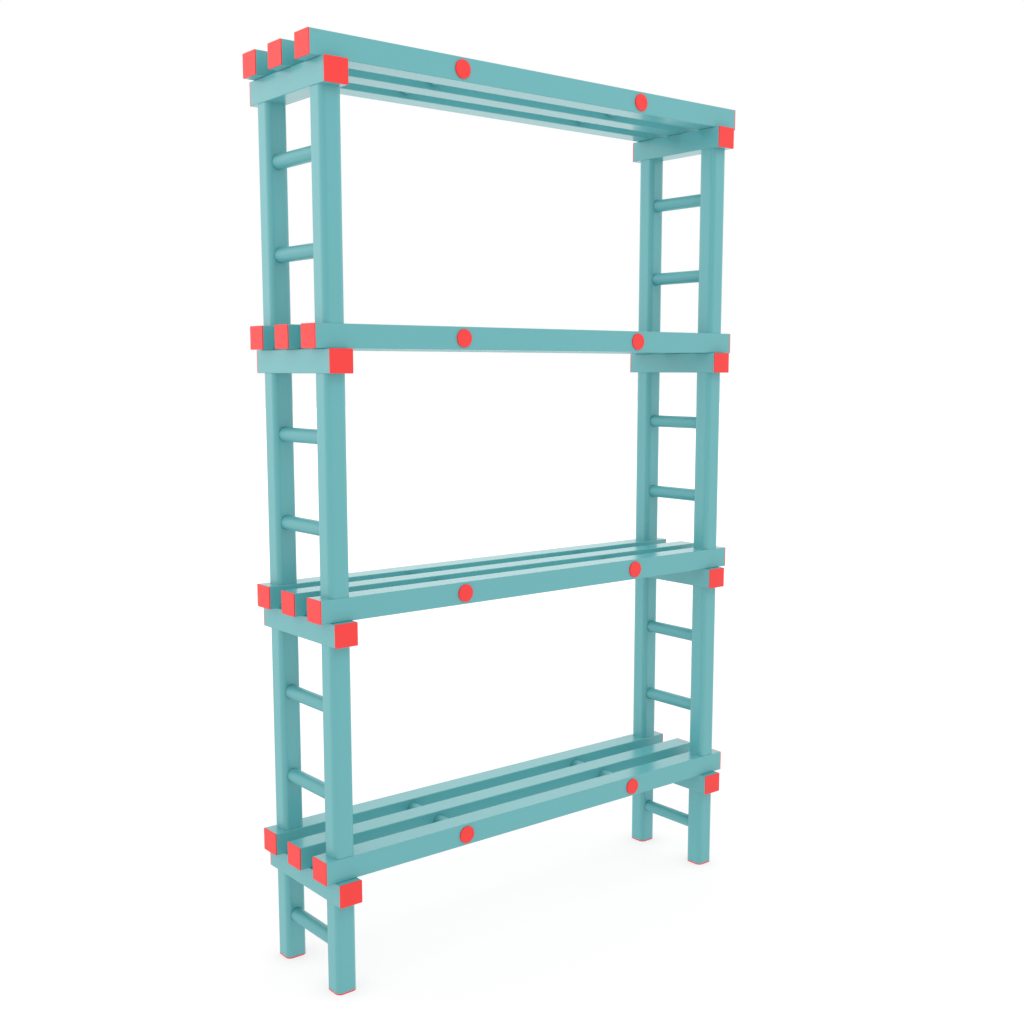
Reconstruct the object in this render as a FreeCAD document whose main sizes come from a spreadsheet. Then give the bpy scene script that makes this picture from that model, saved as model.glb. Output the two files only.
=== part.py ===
import FreeCAD, Part
import os
import Sketcher

os.makedirs("parts", exist_ok=True)
doc = FreeCAD.newDocument("SlattedShelving")

# Driving dimensions in millimetres, one sheet row each
dimensions = {
    "slat_length": 1000.0,  # over both end caps
    "beam_length": 248.0,  # front to back, over both end caps
    "tube_width": 44.0,  # slats and beams share one oblong tube
    "tube_height": 40.5,
    "tube_wall": 3.0,
    "tube_radius": 1.5,
    "slat_spacing": 88.0,  # centre to centre, also the posts' distance from the middle
    "beam_reach": 459.0,  # from the middle of the unit to a beam and its posts
    "post_width": 40.0,
    "post_radius": 10.0,
    "post_wall": 3.5,
    "post_length": 373.0,  # from a slat's top to the beam above it
    "leg_length": 163.5,  # bottom posts, above their foot caps
    "rung_diameter": 25.4,
    "rung_wall": 2.5,
    "rung_seat": 20.0,  # how far a rung reaches into a post
    "rung_spacing": 155.6,
    "rung_rise_low": 102.5,  # lower rung above the foot of its post, by storey
    "rung_rise_middle": 111.3,
    "rung_rise_high": 120.0,
    "leg_rung_rise": 80.7,
    "tie_diameter": 25.4,
    "tie_wall": 2.5,
    "tie_recess": 1.0,  # tie tube's end behind the slat's outer face
    "tie_left": 200.0,  # from the middle of the unit
    "tie_right": 227.5,
    "cap_flange": 2.0,
    "cap_stem": 15.0,
    "cap_stem_wall": 2.5,
    "button_diameter": 32.0,
    "button_flange": 2.8,
    "button_edge": 0.9,
    "button_stem": 14.0,
    "foot_flange": 2.5,
    "foot_stem": 18.0,
    "foot_rib": 2.5,
    "spigot_reach": 30.0,  # how far a spigot reaches into a post
    "spigot_wall": 4.5,
    "spigot_chamfer": 5.5,
    "fit_gap": 0.3,  # free space on each side of a plugged or threaded piece
}
sheet = doc.addObject("Spreadsheet::Sheet", "Sizes")
for row, (alias, millimetres) in enumerate(dimensions.items(), start=1):
    sheet.set(f"A{row}", alias)
    sheet.set(f"B{row}", str(millimetres))
    sheet.setAlias(f"B{row}", alias)
doc.recompute()

# Sizes that follow from the driving ones, as expressions
slat_tube = "(Sizes.slat_length - 2 * Sizes.cap_flange)"
beam_tube = "(Sizes.beam_length - 2 * Sizes.cap_flange)"
tube_bore_width = "(Sizes.tube_width - 2 * Sizes.tube_wall)"
tube_bore_height = "(Sizes.tube_height - 2 * Sizes.tube_wall)"
post_bore = "(Sizes.post_width - 2 * Sizes.post_wall)"
post_bore_radius = "(Sizes.post_radius - Sizes.post_wall)"
spigot_width = f"({post_bore} - 2 * Sizes.fit_gap)"
leg_top = "(Sizes.foot_flange + Sizes.leg_length)"
level_pitch = "(Sizes.post_length + 2 * Sizes.tube_height)"
rung_length = "(2 * Sizes.slat_spacing - Sizes.post_width + 2 * Sizes.rung_seat)"
tie_length = "(2 * Sizes.slat_spacing + Sizes.tube_width - 2 * Sizes.tie_recess)"
sides = {"left": -1, "right": 1}
rows = {"front": -1, "middle": 0, "rear": 1}
levels = (1, 2, 3, 4)
sub_parts = []


def size(expression):
    return float(sheet.evalExpression(expression))


def new_body(label, x="0", y="0", z="0"):
    body = doc.addObject("PartDesign::Body", label)
    body.Label = label
    body.AllowCompound = True
    for axis, place in zip("xyz", (x, y, z)):
        body.setExpression(f"Placement.Base.{axis}", place)
    sub_parts.append(body)
    return body


def origin_feature(body, role):
    return next(f for f in body.Origin.OriginFeatures if f.Role == role)


def new_sketch(body, name, plane, offset="0"):
    sketch = body.newObject("Sketcher::SketchObject", f"{body.Name}_{name}")
    sketch.AttachmentSupport = [(origin_feature(body, plane), "")]
    sketch.MapMode = "FlatFace"
    sketch.setExpression("AttachmentOffset.Base.z", offset)
    return sketch


def dimension(sketch, tag, constraint, expression):
    index = sketch.addConstraint(constraint)
    sketch.renameConstraint(index, tag)
    sketch.setExpression(f"Constraints.{tag}", expression)


# A rectangle about the sketch's origin whose four corners are rounded or, without a radius, sharp
def draw_rectangle(sketch, tag, width, height, radius=None):
    half_width = size(width) / 2
    half_height = size(height) / 2
    corner = size(radius) if radius else 0.0
    ends = (
        ((corner - half_width, -half_height), (half_width - corner, -half_height)),
        ((half_width, corner - half_height), (half_width, half_height - corner)),
        ((half_width - corner, half_height), (corner - half_width, half_height)),
        ((-half_width, half_height - corner), (-half_width, corner - half_height)),
    )
    lines = [
        sketch.addGeometry(Part.LineSegment(FreeCAD.Vector(*start), FreeCAD.Vector(*end)))
        for start, end in ends
    ]
    bottom, right, top, left = lines
    for line in (bottom, top):
        sketch.addConstraint(Sketcher.Constraint("Horizontal", line))
    for line in (left, right):
        sketch.addConstraint(Sketcher.Constraint("Vertical", line))
    if radius:
        quarter = 1.5707963267948966
        centres = ((1, -1), (1, 1), (-1, 1), (-1, -1))
        arcs = []
        for turn, (x, y) in enumerate(centres, start=-1):
            centre = FreeCAD.Vector(x * (half_width - corner), y * (half_height - corner))
            circle = Part.Circle(centre, FreeCAD.Vector(0, 0, 1), corner)
            arc = Part.ArcOfCircle(circle, turn * quarter, (turn + 1) * quarter)
            arcs.append(sketch.addGeometry(arc))
        for index, arc in enumerate(arcs):
            sketch.addConstraint(Sketcher.Constraint("Tangent", lines[index], 2, arc, 1))
            sketch.addConstraint(Sketcher.Constraint("Tangent", arc, 2, lines[(index + 1) % 4], 1))
        for arc in arcs[1:]:
            sketch.addConstraint(Sketcher.Constraint("Equal", arcs[0], arc))
        sketch.addConstraint(Sketcher.Constraint("Symmetric", arcs[0], 3, arcs[2], 3, -1, 1))
        dimension(sketch, f"{tag}_radius", Sketcher.Constraint("Radius", arcs[0], corner), radius)
    else:
        for index, line in enumerate(lines):
            following = lines[(index + 1) % 4]
            sketch.addConstraint(Sketcher.Constraint("Coincident", line, 2, following, 1))
        sketch.addConstraint(Sketcher.Constraint("Symmetric", bottom, 1, top, 1, -1, 1))
    across = Sketcher.Constraint("DistanceX", left, 1, right, 1, 2 * half_width)
    dimension(sketch, f"{tag}_width", across, width)
    upright = Sketcher.Constraint("DistanceY", bottom, 1, top, 1, 2 * half_height)
    dimension(sketch, f"{tag}_height", upright, height)


# A circle whose centre lies x along and y up from the sketch's origin
def draw_circle(sketch, tag, diameter, x="0", y="0"):
    centre = FreeCAD.Vector(size(x), size(y))
    circle = sketch.addGeometry(Part.Circle(centre, FreeCAD.Vector(0, 0, 1), size(diameter) / 2))
    dimension(sketch, f"{tag}_diameter", Sketcher.Constraint("Diameter", circle, size(diameter)), diameter)
    for way, axis, place, distance in (("x", -2, x, "DistanceX"), ("y", -1, y, "DistanceY")):
        if place == "0":
            sketch.addConstraint(Sketcher.Constraint("PointOnObject", circle, 3, axis))
        else:
            offset = Sketcher.Constraint(distance, -1, 1, circle, 3, size(place))
            dimension(sketch, f"{tag}_{way}", offset, place)


def new_pad(body, sketch, length, symmetric=False, reverse=False):
    pad = body.newObject("PartDesign::Pad", f"{sketch.Name}_pad")
    pad.Profile = sketch
    pad.SideType = "Symmetric" if symmetric else "One side"
    pad.Reversed = reverse
    pad.setExpression("Length", length)
    return pad


def new_pocket(body, sketch, length=None, reverse=False):
    pocket = body.newObject("PartDesign::Pocket", f"{sketch.Name}_pocket")
    pocket.Profile = sketch
    if length:
        pocket.Reversed = reverse
        pocket.setExpression("Length", length)
    else:
        pocket.SideType = "Symmetric"
        pocket.Type = "ThroughAll"
    return pocket


def level_height(level):
    return f"({leg_top} + {level - 1} * {level_pitch})"


def slat_height(level):
    return f"({level_height(level)} + 1.5 * Sizes.tube_height)"


def beam_height(level):
    return f"({level_height(level)} + 0.5 * Sizes.tube_height)"


# Oblong tube lying along its plane's normal, with its bore
def draw_tube(body, plane, length):
    sketch = new_sketch(body, "section", plane)
    draw_rectangle(sketch, "outside", "Sizes.tube_width", "Sizes.tube_height", "Sizes.tube_radius")
    draw_rectangle(sketch, "bore", tube_bore_width, tube_bore_height)
    new_pad(body, sketch, length, symmetric=True)


# Openings in the tube for the spigots that join the posts above and below it
def cut_spigot_holes(body, along_x, along_y, top_closed=False):
    width = f"({post_bore})"
    for index, side in enumerate((-1, 1)):
        sketch = new_sketch(body, f"spigot_hole_{index}", "XY_Plane")
        sketch.setExpression("AttachmentOffset.Base.x", f"{side} * {along_x}")
        sketch.setExpression("AttachmentOffset.Base.y", f"{side} * {along_y}")
        draw_rectangle(sketch, "hole", width, width)
        new_pocket(body, sketch, "Sizes.tube_height" if top_closed else None)


# Slats, three to a level, with the holes that the tie tubes run through
for level in levels:
    for row, way in rows.items():
        slat = new_body(f"level_{level}_slat_{row}", y=f"{way} * Sizes.slat_spacing", z=slat_height(level))
        draw_tube(slat, "YZ_Plane", slat_tube)
        holes = new_sketch(slat, "tie_holes", "XZ_Plane")
        tie_hole = "Sizes.tie_diameter + 2 * Sizes.fit_gap"
        draw_circle(holes, "left", tie_hole, x="-Sizes.tie_left")
        draw_circle(holes, "right", tie_hole, x="Sizes.tie_right")
        new_pocket(slat, holes)
        if row != "middle":
            cut_spigot_holes(slat, "Sizes.beam_reach", "0", top_closed=level == levels[-1])

# Beams, one across each end of a level, under the slats
for level in levels:
    for side, way in sides.items():
        beam = new_body(f"level_{level}_beam_{side}", x=f"{way} * Sizes.beam_reach", z=beam_height(level))
        draw_tube(beam, "XZ_Plane", beam_tube)
        cut_spigot_holes(beam, "0", "Sizes.slat_spacing")

# Rungs of each storey, above the foot of its posts
storey_rungs = {
    1: ("Sizes.leg_rung_rise",),
    2: ("Sizes.rung_rise_low", "(Sizes.rung_rise_low + Sizes.rung_spacing)"),
    3: ("Sizes.rung_rise_middle", "(Sizes.rung_rise_middle + Sizes.rung_spacing)"),
    4: ("Sizes.rung_rise_high", "(Sizes.rung_rise_high + Sizes.rung_spacing)"),
}


def storey_foot(storey):
    if storey == 1:
        return "Sizes.foot_flange"
    return f"({level_height(storey)} - Sizes.post_length)"


# Posts, with holes for the rungs in the side that faces the other post
for storey in levels:
    for row in ("front", "rear"):
        for side, way in sides.items():
            kind = "leg" if storey == 1 else f"storey_{storey}_post"
            post = new_body(
                f"{kind}_{row}_{side}",
                x=f"{way} * Sizes.beam_reach",
                y=f"{rows[row]} * Sizes.slat_spacing",
                z=storey_foot(storey),
            )
            section = new_sketch(post, "section", "XY_Plane")
            draw_rectangle(section, "outside", "Sizes.post_width", "Sizes.post_width", "Sizes.post_radius")
            draw_rectangle(section, "bore", post_bore, post_bore, post_bore_radius)
            new_pad(post, section, "Sizes.leg_length" if storey == 1 else "Sizes.post_length")
            holes = new_sketch(post, "rung_holes", "XZ_Plane")
            for index, rise in enumerate(storey_rungs[storey]):
                draw_circle(holes, f"rung_{index}", "Sizes.rung_diameter + 2 * Sizes.fit_gap", y=rise)
            new_pocket(post, holes, "Sizes.post_width", reverse=row == "rear")

# Rungs, plugged into the posts at both ends
for storey in levels:
    for side, way in sides.items():
        rungs = new_body(f"storey_{storey}_rungs_{side}", x=f"{way} * Sizes.beam_reach", z=storey_foot(storey))
        section = new_sketch(rungs, "section", "XZ_Plane")
        for index, rise in enumerate(storey_rungs[storey]):
            draw_circle(section, f"outside_{index}", "Sizes.rung_diameter", y=rise)
            draw_circle(section, f"bore_{index}", "Sizes.rung_diameter - 2 * Sizes.rung_wall", y=rise)
        new_pad(rungs, section, rung_length, symmetric=True)

# Tie tubes, threaded through the three slats of a level
ties = {"left": "-Sizes.tie_left", "right": "Sizes.tie_right"}
for level in levels:
    for side, place in ties.items():
        tie = new_body(f"level_{level}_tie_tube_{side}", x=place, z=slat_height(level))
        section = new_sketch(tie, "section", "XZ_Plane")
        draw_circle(section, "outside", "Sizes.tie_diameter")
        draw_circle(section, "bore", "Sizes.tie_diameter - 2 * Sizes.tie_wall")
        new_pad(tie, section, tie_length, symmetric=True)


def new_mirror(body, plane):
    mirror = body.newObject("PartDesign::Mirrored", f"{body.Name}_mirror_{plane}")
    mirror.TransformMode = "Whole shape"
    mirror.MirrorPlane = (origin_feature(body, plane), [""])
    body.Tip = mirror


def new_row(body, axis, count, spacing):
    pattern = body.newObject("PartDesign::LinearPattern", f"{body.Name}_row_{axis}")
    pattern.TransformMode = "Whole shape"
    pattern.Direction = (origin_feature(body, axis), [""])
    pattern.Mode = "Spacing"
    pattern.setExpression("Offset", spacing)
    pattern.Occurrences = count
    body.Tip = pattern
    doc.recompute()


# End cap of an oblong tube: a flange with the tube's outline and a hollow stem that plugs its bore
def draw_end_cap(body, plane, tube_length, outward):
    face = f"{outward} * {tube_length} / 2"
    stem_width = f"({tube_bore_width} - 2 * Sizes.fit_gap)"
    stem_height = f"({tube_bore_height} - 2 * Sizes.fit_gap)"
    flange = new_sketch(body, "flange", plane, face)
    draw_rectangle(flange, "outline", "Sizes.tube_width", "Sizes.tube_height", "Sizes.tube_radius")
    new_pad(body, flange, "Sizes.cap_flange", reverse=outward < 0)
    stem = new_sketch(body, "stem", plane, face)
    draw_rectangle(stem, "outside", stem_width, stem_height)
    thickness = "2 * Sizes.cap_stem_wall"
    draw_rectangle(stem, "hollow", f"{stem_width} - {thickness}", f"{stem_height} - {thickness}")
    new_pad(body, stem, "Sizes.cap_stem", reverse=outward > 0)


slat_caps = new_body("slat_end_caps", y="-Sizes.slat_spacing", z=slat_height(1))
draw_end_cap(slat_caps, "YZ_Plane", slat_tube, 1)
doc.recompute()
new_mirror(slat_caps, "YZ_Plane")
new_row(slat_caps, "Y_Axis", len(rows), "Sizes.slat_spacing")
new_row(slat_caps, "Z_Axis", len(levels), level_pitch)

beam_caps = new_body("beam_end_caps", x="-Sizes.beam_reach", z=beam_height(1))
draw_end_cap(beam_caps, "XZ_Plane", beam_tube, 1)
doc.recompute()
new_mirror(beam_caps, "XZ_Plane")
new_row(beam_caps, "X_Axis", len(sides), "2 * Sizes.beam_reach")
new_row(beam_caps, "Z_Axis", len(levels), level_pitch)

# Round button caps that close the tie tubes and bear on the outer slats
buttons = new_body("tie_tube_caps", x="-Sizes.tie_left", z=slat_height(1))
slat_face = "(Sizes.slat_spacing + Sizes.tube_width / 2)"
button_flange = new_sketch(buttons, "flange", "XZ_Plane", slat_face)
draw_circle(button_flange, "outline", "Sizes.button_diameter")
flange_pad = new_pad(buttons, button_flange, "Sizes.button_flange")
doc.recompute()
outer_edge = min(range(len(flange_pad.Shape.Edges)), key=lambda i: flange_pad.Shape.Edges[i].BoundBox.YMax)
edge_break = buttons.newObject("PartDesign::Chamfer", "tie_tube_caps_edge")
edge_break.Base = (flange_pad, [f"Edge{outer_edge + 1}"])
edge_break.setExpression("Size", "Sizes.button_edge")
doc.recompute()
button_stem = new_sketch(buttons, "stem", "XZ_Plane", slat_face)
draw_circle(button_stem, "outline", "Sizes.tie_diameter - 2 * (Sizes.tie_wall + Sizes.fit_gap)")
new_pad(buttons, button_stem, "Sizes.button_stem", reverse=True)
doc.recompute()
new_mirror(buttons, "XZ_Plane")
new_row(buttons, "X_Axis", len(ties), "Sizes.tie_left + Sizes.tie_right")
new_row(buttons, "Z_Axis", len(levels), level_pitch)

# Foot caps: a sole with the leg's outline and a cross of ribs that plugs the leg's bore
feet = new_body("foot_caps", x="-Sizes.beam_reach", y="-Sizes.slat_spacing")
sole = new_sketch(feet, "sole", "XY_Plane")
draw_rectangle(sole, "outline", "Sizes.post_width", "Sizes.post_width", "Sizes.post_radius")
new_pad(feet, sole, "Sizes.foot_flange")
for index, (width, depth) in enumerate(((spigot_width, "Sizes.foot_rib"), ("Sizes.foot_rib", spigot_width))):
    rib = new_sketch(feet, f"rib_{index}", "XY_Plane", "Sizes.foot_flange")
    draw_rectangle(rib, "outline", width, depth)
    new_pad(feet, rib, "Sizes.foot_stem")
doc.recompute()
new_row(feet, "X_Axis", len(sides), "2 * Sizes.beam_reach")
new_row(feet, "Y_Axis", 2, "2 * Sizes.slat_spacing")


# Spigots that run from a post through beam and slat, into the next post or up to the top slat's upper wall
def draw_spigots(label, first_level, count, length):
    foot = f"({level_height(first_level)} - Sizes.spigot_reach)"
    body = new_body(label, x="-Sizes.beam_reach", y="-Sizes.slat_spacing", z=foot)
    section = new_sketch(body, "section", "XY_Plane")
    hollow = f"({spigot_width} - 2 * Sizes.spigot_wall)"
    draw_rectangle(section, "outside", spigot_width, spigot_width)
    draw_rectangle(section, "hollow", hollow, hollow)
    pad = new_pad(body, section, length)
    doc.recompute()
    half = size(spigot_width) / 2
    corners = [
        f"Edge{index}"
        for index, edge in enumerate(pad.Shape.Edges, start=1)
        if edge.tangentAt(edge.FirstParameter).z ** 2 > 0.9
        and abs(abs(edge.CenterOfMass.x) - half) < 0.01
    ]
    chamfer = body.newObject("PartDesign::Chamfer", f"{label}_corners")
    chamfer.Base = (pad, corners)
    chamfer.setExpression("Size", "Sizes.spigot_chamfer")
    doc.recompute()
    new_row(body, "X_Axis", len(sides), "2 * Sizes.beam_reach")
    new_row(body, "Y_Axis", 2, "2 * Sizes.slat_spacing")
    if count > 1:
        new_row(body, "Z_Axis", count, level_pitch)


draw_spigots("through_spigots", 1, 3, "2 * Sizes.spigot_reach + 2 * Sizes.tube_height")
top_reach = "Sizes.spigot_reach + 2 * Sizes.tube_height - Sizes.tube_wall - Sizes.fit_gap"
draw_spigots("top_spigots", 4, 1, top_reach)

# Every object has to be sound before any piece is written
doc.recompute()
failed = [item.Label for item in doc.Objects if {"Invalid", "Error"} & set(item.State)]
failed += [body.Label for body in sub_parts if body.Shape.isNull() or not body.Shape.isValid()]
if failed:
    raise RuntimeError("not sound: " + ", ".join(failed))
for body in sub_parts:
    body.Shape.exportStep(f"parts/{body.Label}.step")
print(len(sub_parts), "pieces written")
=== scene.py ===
import bpy
import bmesh
import math
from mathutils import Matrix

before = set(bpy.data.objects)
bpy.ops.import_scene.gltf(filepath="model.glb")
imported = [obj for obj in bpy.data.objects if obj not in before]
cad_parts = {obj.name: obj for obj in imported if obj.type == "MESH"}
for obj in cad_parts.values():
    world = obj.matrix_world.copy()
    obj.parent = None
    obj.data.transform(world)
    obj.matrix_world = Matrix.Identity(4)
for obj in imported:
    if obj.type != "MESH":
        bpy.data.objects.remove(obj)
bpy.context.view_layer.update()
print("frame loaded,", len(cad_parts), "nodes")

mmInMetre = 1000
noiseSpread = (0.3, 0.7)  # most of a noise pattern's values lie between these
white = (1, 1, 1, 1)


# sRGB hex to the linear colour that shaders take
def hexColour(code):
    parts = [int(code[i:i + 2], 16) / 255 for i in (1, 3, 5)]
    return [p / 12.92 if p <= 0.04045 else ((p + 0.055) / 1.055) ** 2.4 for p in parts] + [1.0]


# one node with its settings, its socket values and its incoming links
def addNode(tree, kind, settings={}, values={}, links={}):
    node = tree.nodes.new(kind)
    for name, value in settings.items():
        setattr(node, name, value)
    for name, value in values.items():
        node.inputs[name].default_value = value
    for name, socket in links.items():
        tree.links.new(socket, node.inputs[name])
    return node


def newMaterial(name):
    material = bpy.data.materials.new(name)
    material.use_nodes = True
    material.node_tree.nodes.clear()
    return material, material.node_tree


# Extruded PVC tube: drawn through a die, so the skin has very faint lines along its length,
# a slow drift of colour, and a satin gloss that whitens at a glancing angle
boxTube = {
    "colour": "#60AFB3",
    "drift": "#5EABAF",
    "driftMm": 180,
    "driftDetail": 3.0,
    "lineMm": 1.6,         # spacing of the die lines across the tube
    "lineLengthMm": 400,
    "lineDetail": 2.0,
    "lineDepthMm": 0.02,
    "lineShow": 0.03,      # strength of the lines' relief
    "roughness": (0.25, 0.27),
    "ior": 1.6,
}

# Round tube of the rungs and ties: the same stock with a duller gloss, its colour a shade deeper as
# painted shade
roundTubePaintedShade = dict(boxTube, colour="#5AA9AD", drift="#58A5A9", lineMm=1.2,
                 roughness=(0.39, 0.41), ior=1.5)


# along is the axis that the tube was drawn in
def extrudedTube(name, finish, along):
    material, tree = newMaterial(name + along)
    place = addNode(tree, "ShaderNodeTexCoord").outputs["Object"]
    lineScale = [mmInMetre / finish["lineMm"]] * 3
    lineScale["XYZ".index(along)] = mmInMetre / finish["lineLengthMm"]
    drawn = addNode(tree, "ShaderNodeMapping", values={"Scale": lineScale}, links={"Vector": place})
    lines = addNode(tree, "ShaderNodeTexNoise",
                    values={"Scale": 1.0, "Detail": finish["lineDetail"]},  # Mapping has scaled it
                    links={"Vector": drawn.outputs["Vector"]})
    slow = addNode(tree, "ShaderNodeTexNoise",
                   values={"Scale": mmInMetre / finish["driftMm"], "Detail": finish["driftDetail"]},
                   links={"Vector": place})
    return plasticSkin(material, finish, lines.outputs["Fac"], slow.outputs["Fac"],
                       finish["lineShow"], finish["lineDepthMm"])


# Moulded PP cap: cast against a lightly etched steel tool, so the skin has a fine
# orange-peel and a softer gloss than the tubes
endCap = {
    "colour": "#F73938",
    "drift": "#F13431",
    "driftMm": 60,
    "driftDetail": 2.0,
    "peelMm": 0.9,
    "peelDetail": 2.0,
    "peelDepthMm": 0.015,
    "peelShow": 0.2,       # strength of the peel's relief
    "roughness": (0.42, 0.52),
    "ior": 1.47,
}

# Moulded nylon spigot, out of sight inside the tubes: grey, dull, with a coarser orange-peel
spigot = dict(endCap, colour="#8E9294", drift="#85898B", driftMm=40, peelMm=1.5, peelDepthMm=0.03,
              roughness=(0.5, 0.62), ior=1.5)


def mouldedPlastic(name, finish):
    material, tree = newMaterial(name)
    place = addNode(tree, "ShaderNodeTexCoord").outputs["Object"]
    peel = addNode(tree, "ShaderNodeTexNoise",
                   values={"Scale": mmInMetre / finish["peelMm"], "Detail": finish["peelDetail"]},
                   links={"Vector": place})
    slow = addNode(tree, "ShaderNodeTexNoise",
                   values={"Scale": mmInMetre / finish["driftMm"], "Detail": finish["driftDetail"]},
                   links={"Vector": place})
    return plasticSkin(material, finish, peel.outputs["Fac"], slow.outputs["Fac"],
                       finish["peelShow"], finish["peelDepthMm"])


# the fine pattern drives gloss and relief, the slow one the drift of colour
def plasticSkin(material, finish, fine, slow, show, depthMm):
    tree = material.node_tree
    tint = addNode(tree, "ShaderNodeMix", {"data_type": "RGBA"},
                   {"A": hexColour(finish["colour"]), "B": hexColour(finish["drift"])},
                   {"Factor": slow})
    least, most = noiseSpread
    smooth, dull = finish["roughness"]
    gloss = addNode(tree, "ShaderNodeMapRange",
                    values={"From Min": least, "From Max": most, "To Min": smooth, "To Max": dull},
                    links={"Value": fine})
    relief = addNode(tree, "ShaderNodeBump",
                     values={"Strength": show, "Distance": depthMm / mmInMetre},
                     links={"Height": fine})
    plastic = addNode(tree, "ShaderNodeBsdfPrincipled", values={"IOR": finish["ior"]},
                      links={"Base Color": tint.outputs["Result"],
                             "Roughness": gloss.outputs["Result"],
                             "Normal": relief.outputs["Normal"]})
    addNode(tree, "ShaderNodeOutputMaterial", links={"Surface": plastic.outputs["BSDF"]})
    return material


boxTubes = {axis: extrudedTube("pvcBoxTubeExtruded", boxTube, axis) for axis in "XYZ"}
# the rungs' and ties' deeper colour is painted shade
roundTubesPaintedShade = extrudedTube("pvcRoundTubePaintedShade", roundTubePaintedShade, "Y")
capMoulding = mouldedPlastic("ppCapMoulded", endCap)
spigotMoulding = mouldedPlastic("nylonSpigotMoulded", spigot)


# each piece's finish, drawn the way the piece runs
def finishFor(name):
    if "caps" in name:
        return capMoulding
    if "spigots" in name:
        return spigotMoulding
    if "rungs" in name or "tie" in name:
        return roundTubesPaintedShade
    if "slat" in name:
        return boxTubes["X"]
    if "beam" in name:
        return boxTubes["Y"]
    return boxTubes["Z"]  # posts and legs


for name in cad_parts:
    piece = bpy.data.objects[name]
    if not piece.material_slots:
        piece.data.materials.append(finishFor(name))
    for slot in piece.material_slots:
        slot.material = finishFor(name)
print("finishes assigned")

# Floor: matt white paper, lit from beneath like a light table so that shadows stay faint; its glow
# is dimmer near the unit and brighter behind it (painted shade and light) and dims around the feet
# (painted shadow)
studioFloor = {
    "reach": 30.0,
    "colour": "#8C8888",
    "glow": 0.768,
    "glowBehind": 0.94,
    "glowRises": (0.3, 3.5),  # metres behind the middle of the unit
    "paintedShadowReach": 0.05,     # how far from a foot the glow dims in a painted contact shadow, in metres
    "paintedShadowGlow": 0.8,       # what is left of the glow under the foot's edge, in the painted shadow
    "paintedShadowSamples": 16,
    "grainMm": 2.5,
    "grainDepthMm": 0.2,
    "grainShow": 0.02,
}


def makeFloor():
    mesh = bpy.data.meshes.new("studioFloor")
    floor = bpy.data.objects.new("studioFloor", mesh)
    shape = bmesh.new()
    bmesh.ops.create_grid(shape, x_segments=1, y_segments=1, size=studioFloor["reach"])
    shape.to_mesh(mesh)
    shape.free()
    material, tree = newMaterial("paperFloorMatt")
    place = addNode(tree, "ShaderNodeTexCoord").outputs["Object"]
    grain = addNode(tree, "ShaderNodeTexNoise",
                    values={"Scale": mmInMetre / studioFloor["grainMm"]}, links={"Vector": place})
    skin = addNode(tree, "ShaderNodeBump",
                   values={"Strength": studioFloor["grainShow"],
                           "Distance": studioFloor["grainDepthMm"] / mmInMetre},
                   links={"Height": grain.outputs["Fac"]})
    depth = addNode(tree, "ShaderNodeSeparateXYZ", links={"Vector": place})
    # painted shade and light on the floor: the glow is dimmer near the unit and rises behind it
    near, far = studioFloor["glowRises"]
    glow = addNode(tree, "ShaderNodeMapRange", {"interpolation_type": "SMOOTHSTEP"},
                   {"From Min": near, "From Max": far,
                    "To Min": studioFloor["glow"], "To Max": studioFloor["glowBehind"]},
                   {"Value": depth.outputs["Y"]})
    # painted contact shadow: the glow dims where the feet stand close
    clear = addNode(tree, "ShaderNodeAmbientOcclusion", {"samples": studioFloor["paintedShadowSamples"]},
                    {"Distance": studioFloor["paintedShadowReach"]})
    left = addNode(tree, "ShaderNodeMapRange",
                   values={"To Min": studioFloor["paintedShadowGlow"], "To Max": 1.0},
                   links={"Value": clear.outputs["AO"]})
    shown = addNode(tree, "ShaderNodeMath", {"operation": "MULTIPLY"}, {},
                    {0: glow.outputs["Result"], 1: left.outputs["Result"]})
    paper = addNode(tree, "ShaderNodeBsdfPrincipled",
                    values={"Base Color": hexColour(studioFloor["colour"]), "Roughness": 1.0,
                            "Specular IOR Level": 0.0, "Emission Color": white},
                    links={"Normal": skin.outputs["Normal"],
                           "Emission Strength": shown.outputs["Value"]})
    addNode(tree, "ShaderNodeOutputMaterial", links={"Surface": paper.outputs["BSDF"]})
    mesh.materials.append(material)
    bpy.context.scene.collection.objects.link(floor)


# Sky: white, brighter behind and at the sides, dimmer in front
studioSky = {"strength": 0.98, "seen": 1.0}
skyPatches = [  # headings run from the depth axis towards the right, all in degrees
    {"heading": 315, "height": 6, "halfWidth": 50, "gain": 0.62},
    {"heading": 10, "height": 8, "halfWidth": 55, "gain": 0.3},
    {"heading": 95, "height": 25, "halfWidth": 75, "gain": 0.25},
    {"heading": 190, "height": 8, "halfWidth": 50, "gain": -0.35},
]


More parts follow.
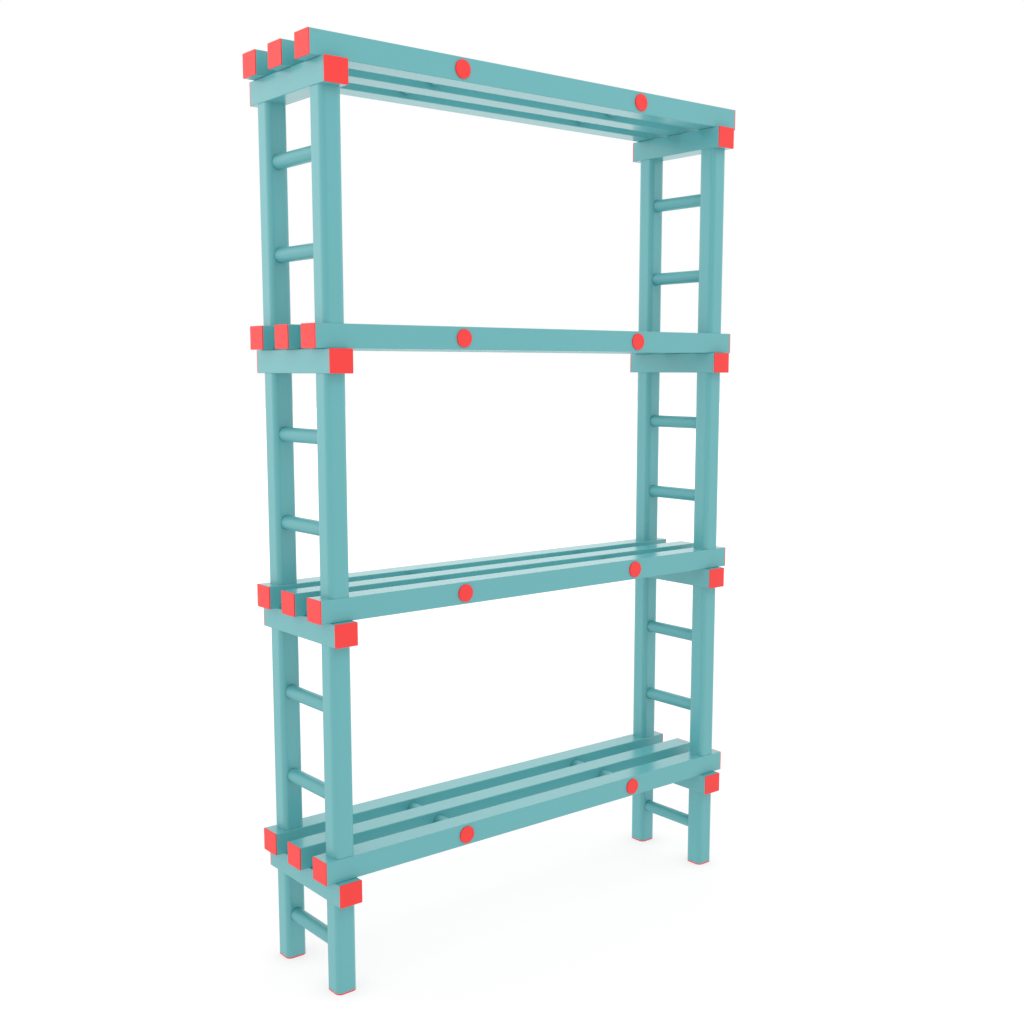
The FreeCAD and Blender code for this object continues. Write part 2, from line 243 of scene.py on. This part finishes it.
def makeSky():
    sky = bpy.data.worlds.new("studioSky")
    sky.use_nodes = True
    tree = sky.node_tree
    background = tree.nodes["Background"]
    background.inputs["Color"].default_value = white
    place = addNode(tree, "ShaderNodeTexCoord").outputs["Generated"]
    light = addNode(tree, "ShaderNodeMath", {"operation": "ADD"},
                    {0: studioSky["strength"], 1: 0.0})
    for patch in skyPatches:
        heading, height = math.radians(patch["heading"]), math.radians(patch["height"])
        level = math.cos(height)
        middle = (level * math.sin(heading), level * math.cos(heading), math.sin(height))
        near = addNode(tree, "ShaderNodeVectorMath", {"operation": "DOT_PRODUCT"},
                       {1: middle}, {0: place})
        gain = addNode(tree, "ShaderNodeMapRange", {"interpolation_type": "SMOOTHSTEP"},
                       {"From Min": math.cos(math.radians(patch["halfWidth"])), "From Max": 1.0,
                        "To Min": 0.0, "To Max": patch["gain"]},
                       {"Value": near.outputs["Value"]})
        light = addNode(tree, "ShaderNodeMath", {"operation": "ADD"}, {},
                        {0: light.outputs["Value"], 1: gain.outputs["Result"]})
    # the patches only light the unit: the sky itself shows plain white in every view
    path = addNode(tree, "ShaderNodeLightPath")
    shown = addNode(tree, "ShaderNodeMix", values={"B": studioSky["seen"]},
                    links={"Factor": path.outputs["Is Camera Ray"], "A": light.outputs["Value"]})
    tree.links.new(shown.outputs["Result"], background.inputs["Strength"])
    bpy.context.scene.world = sky
    bpy.context.scene.view_settings.view_transform = "Standard"


# Panel: one weak soft light high in front
highPanel = {
    "place": (-0.3, -2.2, 3.2),
    "target": (0, 0, 1.2),
    "size": (1.5, 1.0),
    "power": 10.0,
}


def makePanel():
    light = bpy.data.lights.new("highPanel", "AREA")
    light.shape = "RECTANGLE"
    light.size, light.size_y = highPanel["size"]
    light.energy = highPanel["power"]
    panel = bpy.data.objects.new("highPanel", light)
    panel.location = highPanel["place"]
    across, back, up = [t - p for t, p in zip(highPanel["target"], highPanel["place"])]
    tilt = math.atan2(up, math.hypot(across, back))
    panel.rotation_euler = (math.pi / 2 + tilt, 0, -math.atan2(across, back))
    bpy.context.scene.collection.objects.link(panel)


# Camera: front left, about level with the third shelf and tipped down a little
photoCamera = {
    "place": (-1.5346, -1.8877, 1.0803),
    "heading": 39.143,  # degrees from the depth axis towards the right
    "dip": 7.676,       # degrees under level
    "lens": 43.93,      # mm, on a sensor of the width below
    "sensor": 36,
    "shift": (-0.0017, 0.0254),
}


def makeCamera():
    data = bpy.data.cameras.new("photoCamera")
    data.sensor_fit = "HORIZONTAL"
    data.sensor_width = photoCamera["sensor"]
    data.lens = photoCamera["lens"]
    data.shift_x, data.shift_y = photoCamera["shift"]
    camera = bpy.data.objects.new("photoCamera", data)
    camera.location = photoCamera["place"]
    tilt = math.radians(90 - photoCamera["dip"])
    camera.rotation_euler = (tilt, 0, -math.radians(photoCamera["heading"]))
    bpy.context.scene.collection.objects.link(camera)
    bpy.context.scene.camera = camera


makeFloor()
makeSky()
makePanel()
makeCamera()
print("studio and camera set")
